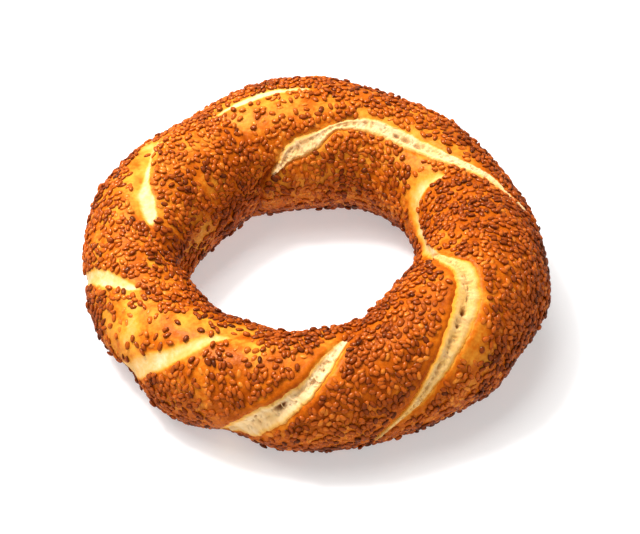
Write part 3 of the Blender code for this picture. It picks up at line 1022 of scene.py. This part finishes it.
def lay_seeds(crust, sizes, rng):
    """Where every seed lies: its middle, its own three axes, its sizes and how toasted it is, with painted shade
    added for seeds low down.
    """
    row, column = throw_places(crust, 1.8, rng)
    middle = crust.read(crust.points, row, column)
    normal = crust.read(crust.normals, row, column)
    normal /= np.linalg.norm(normal, axis=1)[:, None]
    along = crust.read(crust.alongs, row, column)
    along -= (along * normal).sum(axis=1)[:, None] * normal
    along /= np.linalg.norm(along, axis=1)[:, None]
    bare = crust.read(crust.bareness, row, column)[:, 0]
    bare = bare + 0.36 * lumps(middle, 6.0, 31) + 0.22 * lumps(middle, 2.5, 32)
    keep = rng.uniform(0, 1, len(bare)) < np.exp(-4.5 * np.maximum(bare, 0.0))
    keep &= middle[:, 2] > 1.4
    middle, normal, along, bare = middle[keep], normal[keep], along[keep], bare[keep]
    count = len(middle)
    turn = 3.0 * lumps(middle, 16.0, 35) + rng.normal(0, 0.8, count)
    length = sizes.seed_length / MM * rng.normal(1.0, 0.09, count).clip(0.78, 1.18)
    width = sizes.seed_width / MM * rng.normal(1.0, 0.09, count).clip(0.80, 1.18)
    thick = sizes.seed_thickness / MM * rng.normal(1.0, 0.10, count).clip(0.75, 1.25)
    side = np.cross(normal, along)
    direction = along * np.cos(turn)[:, None] + side * np.sin(turn)[:, None]
    lower, upper = Coat(0.60), Coat(0.90)
    layer = np.zeros(count, dtype=int)
    for k in range(count):
        if lower.sticks(middle[k], direction[k], length[k], width[k]):
            layer[k] = 1
        elif rng.uniform() < 0.02 and bare[k] < 0.1 and upper.sticks(
                middle[k] + normal[k], direction[k], length[k], width[k]):
            layer[k] = 2
    kept = layer > 0
    layer, middle, normal, direction = layer[kept], middle[kept], normal[kept], direction[kept]
    length, width, thick, bare = length[kept], width[kept], thick[kept], bare[kept]
    count = len(middle)
    pitch = rng.normal(0, np.where(layer == 2, 0.16, 0.12))
    roll = rng.normal(0, np.where(layer == 2, 0.30, 0.24))
    side = np.cross(normal, direction)
    x_axis = direction * np.cos(pitch)[:, None] + normal * np.sin(pitch)[:, None]
    z_axis = np.cross(x_axis, side)
    y_axis = side * np.cos(roll)[:, None] + z_axis * np.sin(roll)[:, None]
    z_axis = np.cross(x_axis, y_axis)
    low = ease((0.1 - normal[:, 2]) / 0.6)
    proud = np.where(layer == 2, 0.75, rng.uniform(0.0, 0.42, count)) - 0.22 * low
    under_rim = 0.55 * ease((0.15 - normal[:, 2]) / 0.5) * ease((-normal[:, 1] + 0.2) / 0.6)
    embedded = rng.uniform(0, 1, count) < np.where(bare > 0.5, 0.45, 0.06) + under_rim
    proud = np.where(embedded, -0.22, proud)
    middle = middle + normal * (proud * thick)[:, None]
    toast = 0.50 + 0.28 * lumps(middle, 8.0, 33) + 0.18 * lumps(middle, 3.5, 34) + rng.normal(0, 0.11, count)
    # Seeds on the lower, downward-facing sides are darker: partly browner baking there and partly painted shade
    # under the rope.
    toast = toast + 0.05 * middle[:, 0] / 80 + 0.05 * middle[:, 2] / 40 + 0.22 * low
    toast = toast + 0.10 * ease((50 - middle[:, 0]) / 60) * ease((10 - middle[:, 1]) / 50)
    toast = toast - 0.07 * ease((middle[:, 1] - 20) / 40)
    toast = np.where(rng.uniform(0, 1, count) < 0.03, toast + 0.30, toast)
    toast = np.where(embedded, toast - 0.28, toast)
    return middle, np.stack([x_axis, y_axis, z_axis], axis=1), np.stack([length, width, thick], axis=1), toast


def make_seed_piece(name, middle, axes, sizes, toast, material, around=8, along=4):
    """One piece of many seeds: the one shape scaled, turned and moved to each place as whole arrays,
    with a cell of the bake map for each seed."""
    shape = seed_shape(around, along)
    quads, caps, quad_uv, cap_uv = seed_faces(around, along)
    count = len(middle)
    local = shape[None, :, :] * sizes[:, None, :]
    points = np.einsum("spk,skc->spc", local, axes) + middle[:, None, :]
    points[:, :, 2] = np.maximum(points[:, :, 2], 0.02)
    shift = np.arange(count)[:, None, None] * len(shape)
    faces = (quads[None] + shift).reshape(-1, 4).tolist() + (caps[None] + shift).reshape(-1, 3).tolist()
    across = math.ceil(math.sqrt(count))
    cell = np.stack([np.arange(count) % across, np.arange(count) // across], axis=1)
    margin = 0.08
    placed = [((uv[None] * (1 - 2 * margin) + margin + cell[:, None, None, :]) / across).reshape(-1, 2)
              for uv in (quad_uv, cap_uv)]
    tip = np.clip((shape[:, 0] - 0.25) / 0.25, 0, 1)
    # Each seed is paler on top and darker over its sides and underside: partly the seed's own darker rim and partly
    # painted shade.
    rim_and_shade = 1 - np.clip(shape[:, 2] / 0.4, 0, 1)
    values = toast[:, None] + (0.12 * tip + 0.32 * rim_and_shade - 0.12)[None, :]
    return make_mesh(name, points.reshape(-1, 3), faces, np.concatenate(placed), material, toast=values.ravel())


SEED_KINDS = ("pale_seeds", "golden_seeds", "amber_seeds", "toasted_seeds", "dark_seeds")


def make_seeds(crust, sizes, looks):
    """The coat of seeds, one piece for each kind: a fifth of the seeds, by how toasted they are, painted shade low
    down included.
    """
    rng = np.random.default_rng(7)
    middle, axes, extents, toast = lay_seeds(crust, sizes, rng)
    material = seed_material(looks)
    order = np.argsort(toast, kind="stable")
    for name, members in zip(SEED_KINDS, np.array_split(order, len(SEED_KINDS))):
        make_seed_piece(name, middle[members], axes[members], extents[members], toast[members], material)
    print("seeds:", len(toast))


# ---------------------------------------------------------------- stage


def make_stage(stage):
    """A pale floor, soft light from the upper left, and the camera."""
    mesh = bpy.data.meshes.new("floor")
    half = stage.floor_size / 2
    corners = [(-half, -half, 0), (half, -half, 0), (half, half, 0), (-half, half, 0)]
    mesh.from_pydata(corners, [], [(0, 1, 2, 3)])
    material, _, shader = new_material("plain_floor")
    shader.inputs["Base Color"].default_value = (*stage.floor_colour, 1.0)
    shader.inputs["Roughness"].default_value = 0.9
    shader.inputs["Specular IOR Level"].default_value = 0.1
    shader.inputs["Emission Color"].default_value = (1.0, 1.0, 1.0, 1.0)
    shader.inputs["Emission Strength"].default_value = stage.floor_glow
    mesh.materials.append(material)
    floor = bpy.data.objects.new("floor", mesh)
    bpy.context.scene.collection.objects.link(floor)
    floor.visible_glossy = False
    world = bpy.data.worlds.new("soft_room")
    world.use_nodes = True
    back = world.node_tree.nodes["Background"]
    back.inputs["Color"].default_value = (1.0, 0.95, 0.90, 1.0)
    back.inputs["Strength"].default_value = stage.room_light
    bpy.context.scene.world = world
    add_light("key", stage.key_power, stage.key_size, (-0.38, 0.36, 1.00)).visible_glossy = False
    add_light("fill", stage.fill_power, 0.9, (0.35, -0.9, 0.75)).visible_glossy = False
    add_light("glint", stage.glint_power, 0.20, (-0.45, 0.25, 1.0))
    add_camera(stage)
    view = bpy.context.scene.view_settings
    view.view_transform = "Standard"
    view.look = "None"


def add_light(name, power, size, place):
    """A square soft light that faces the middle of the ring; returns it."""
    light = bpy.data.lights.new(name, "AREA")
    light.energy = power
    light.size = size
    lamp = bpy.data.objects.new(name, light)
    lamp.location = place
    lamp.rotation_euler = (Vector((0, 0, 0.02)) - Vector(place)).to_track_quat("-Z", "Y").to_euler()
    bpy.context.scene.collection.objects.link(lamp)
    return lamp


def add_camera(stage):
    """A long lens that looks down at the ring from the front."""
    data = bpy.data.cameras.new("camera")
    data.lens = stage.lens
    data.sensor_width = 36.0
    camera = bpy.data.objects.new("camera", data)
    target = Vector((0.0020, -0.0055, 0.020))
    away = Vector((0, -math.cos(stage.elevation), math.sin(stage.elevation)))
    camera.location = target + away * stage.distance
    camera.rotation_euler = (math.pi / 2 - stage.elevation, 0, 0)
    bpy.context.scene.collection.objects.link(camera)
    bpy.context.scene.camera = camera


# ---------------------------------------------------------------- add-on


def length_setting(name, value, about, **more):
    """A length in metres."""
    return FloatProperty(name=name, description=about, default=value, unit="LENGTH", precision=5, **more)


def colour_setting(name, value, about):
    """A linear colour."""
    return FloatVectorProperty(
        name=name, description=about, default=value, subtype="COLOR", size=3, min=0.0, max=1.0)


class SimitSizes(bpy.types.PropertyGroup):
    """Sizes of the bread's surface and of its seeds."""

    cells_round_ring: IntProperty(name="Cells round ring", description="Crust faces round the ring", default=536)
    cells_round_rope: IntProperty(name="Cells round rope", description="Crust faces over the rope", default=170)
    cells_on_base: IntProperty(name="Cells on base", description="Crust faces across the flat base", default=12)
    dough_unevenness: length_setting("Unevenness", 0.00035, "How uneven the dough is between its seams")
    crumb_cell: length_setting("Crumb detail", 0.00029, "Size of the crumb's faces")
    seed_length: length_setting("Seed length", 0.00292, "Length of a sesame seed")
    seed_width: length_setting("Seed width", 0.00180, "Width of a sesame seed")
    seed_thickness: length_setting("Seed thickness", 0.00120, "Thickness of a sesame seed")


class SimitLooks(bpy.types.PropertyGroup):
    """Colours of the bread, as linear values."""

    cream: colour_setting("Cream", (0.92, 0.665, 0.365), "Crumb that never browned")
    pale_yellow: colour_setting("Pale yellow", (0.88, 0.51, 0.15), "Crust that hardly browned")
    golden: colour_setting("Golden", (0.86, 0.35, 0.030), "Lightly browned crust")
    orange: colour_setting("Orange", (0.62, 0.130, 0.004), "Browned crust")
    deep_brown: colour_setting("Deep brown", (0.34, 0.052, 0.002), "Well browned crust")
    scorched: colour_setting("Scorched", (0.08, 0.015, 0.003), "Scorched crust")
    # The colour of the painted shade down in the crumb's pores and holes.
    pore: colour_setting("Pore", (0.24, 0.070, 0.012), "The bottom of a pore in the crumb")
    glaze: colour_setting("Glaze", (1.0, 0.76, 0.50), "Tint of the oily gloss")
    seed_pale: colour_setting("Pale seed", (0.80, 0.240, 0.022), "The palest seeds")
    seed_golden: colour_setting("Golden seed", (0.56, 0.106, 0.006), "Lightly toasted seeds")
    seed_toasted: colour_setting("Toasted seed", (0.28, 0.042, 0.003), "Well toasted seeds")
    seed_dark: colour_setting("Dark seed", (0.10, 0.016, 0.003), "Scorched seeds")


class SimitStage(bpy.types.PropertyGroup):
    """The floor, the lights and the camera."""

    floor_size: length_setting("Floor size", 6.0, "Side of the floor")
    floor_colour: colour_setting("Floor colour", (0.66, 0.66, 0.66), "The plain floor")
    floor_glow: FloatProperty(name="Floor glow", description="Light that the floor gives off", default=0.40)
    room_light: FloatProperty(name="Room light", description="Strength of the light all round", default=0.25)
    key_power: FloatProperty(name="Key power", description="Power of the main light", default=19.8, unit="POWER")
    key_size: length_setting("Key size", 1.2, "Side of the main light")
    fill_power: FloatProperty(name="Fill power", description="Power of the front light", default=2.5, unit="POWER")
    glint_power: FloatProperty(
        name="Glint power", description="Power of the small light that sparkles on seeds", default=7.5, unit="POWER")
    lens: FloatProperty(name="Lens", description="Focal length in millimetres", default=110.0)
    distance: length_setting("Distance", 0.6895, "From the camera to the ring's middle")
    elevation: FloatProperty(
        name="Elevation", description="How far the camera looks down", default=math.radians(45), unit="ROTATION")


made = {}


class SIMIT_OT_crust(bpy.types.Operator):
    """Make the crust over the ring"""

    bl_idname = "simit.crust"
    bl_label = "Crust"

    def execute(self, context):
        scene = context.scene
        made["seams"] = make_seams()
        made["crust"] = make_crust(scene.simit_sizes, scene.simit_looks, made["seams"])
        return {"FINISHED"}


class SIMIT_OT_crumb(bpy.types.Operator):
    """Make the torn crumb in the splits"""

    bl_idname = "simit.crumb"
    bl_label = "Crumb"

    def execute(self, context):
        scene = context.scene
        if "crust" not in made:
            raise RuntimeError("make the crust before the crumb")
        make_crumb(scene.simit_sizes, scene.simit_looks, made["seams"], made["crust"].middle)
        return {"FINISHED"}


class SIMIT_OT_seeds(bpy.types.Operator):
    """Make the coat of sesame seeds"""

    bl_idname = "simit.seeds"
    bl_label = "Seeds"

    def execute(self, context):
        scene = context.scene
        if "crust" not in made:
            raise RuntimeError("make the crust before the seeds")
        make_seeds(made["crust"], scene.simit_sizes, scene.simit_looks)
        return {"FINISHED"}


class SIMIT_OT_stage(bpy.types.Operator):
    """Make the floor, the lights and the camera"""

    bl_idname = "simit.stage"
    bl_label = "Stage"

    def execute(self, context):
        make_stage(context.scene.simit_stage)
        return {"FINISHED"}


class SIMIT_PT_panel(bpy.types.Panel):
    """The simit's pieces, sizes and colours"""

    bl_label = "Simit"
    bl_idname = "SIMIT_PT_panel"
    bl_space_type = "VIEW_3D"
    bl_region_type = "UI"
    bl_category = "Simit"

    def draw(self, context):
        for operator in OPERATORS:
            self.layout.operator(operator.bl_idname)
        for label in SETTINGS:
            settings = getattr(context.scene, label)
            box = self.layout.box()
            for name in settings.bl_rna.properties.keys():
                if name not in ("rna_type", "name"):
                    box.prop(settings, name)


OPERATORS = (SIMIT_OT_crust, SIMIT_OT_crumb, SIMIT_OT_seeds, SIMIT_OT_stage)
SETTINGS = {"simit_sizes": SimitSizes, "simit_looks": SimitLooks, "simit_stage": SimitStage}
CLASSES = (*SETTINGS.values(), *OPERATORS, SIMIT_PT_panel)


def register():
    """Register the classes and put the settings on the scene."""
    for kind in CLASSES:
        bpy.utils.register_class(kind)
    for label, kind in SETTINGS.items():
        setattr(bpy.types.Scene, label, PointerProperty(type=kind))


def unregister():
    """Take the settings and the classes away again."""
    for label in SETTINGS:
        delattr(bpy.types.Scene, label)
    for kind in reversed(CLASSES):
        bpy.utils.unregister_class(kind)


def main():
    """Make every piece in order."""
    register()
    for operator in (bpy.ops.simit.crust, bpy.ops.simit.crumb, bpy.ops.simit.seeds, bpy.ops.simit.stage):
        operator()


if __name__ == "__main__":
    main()
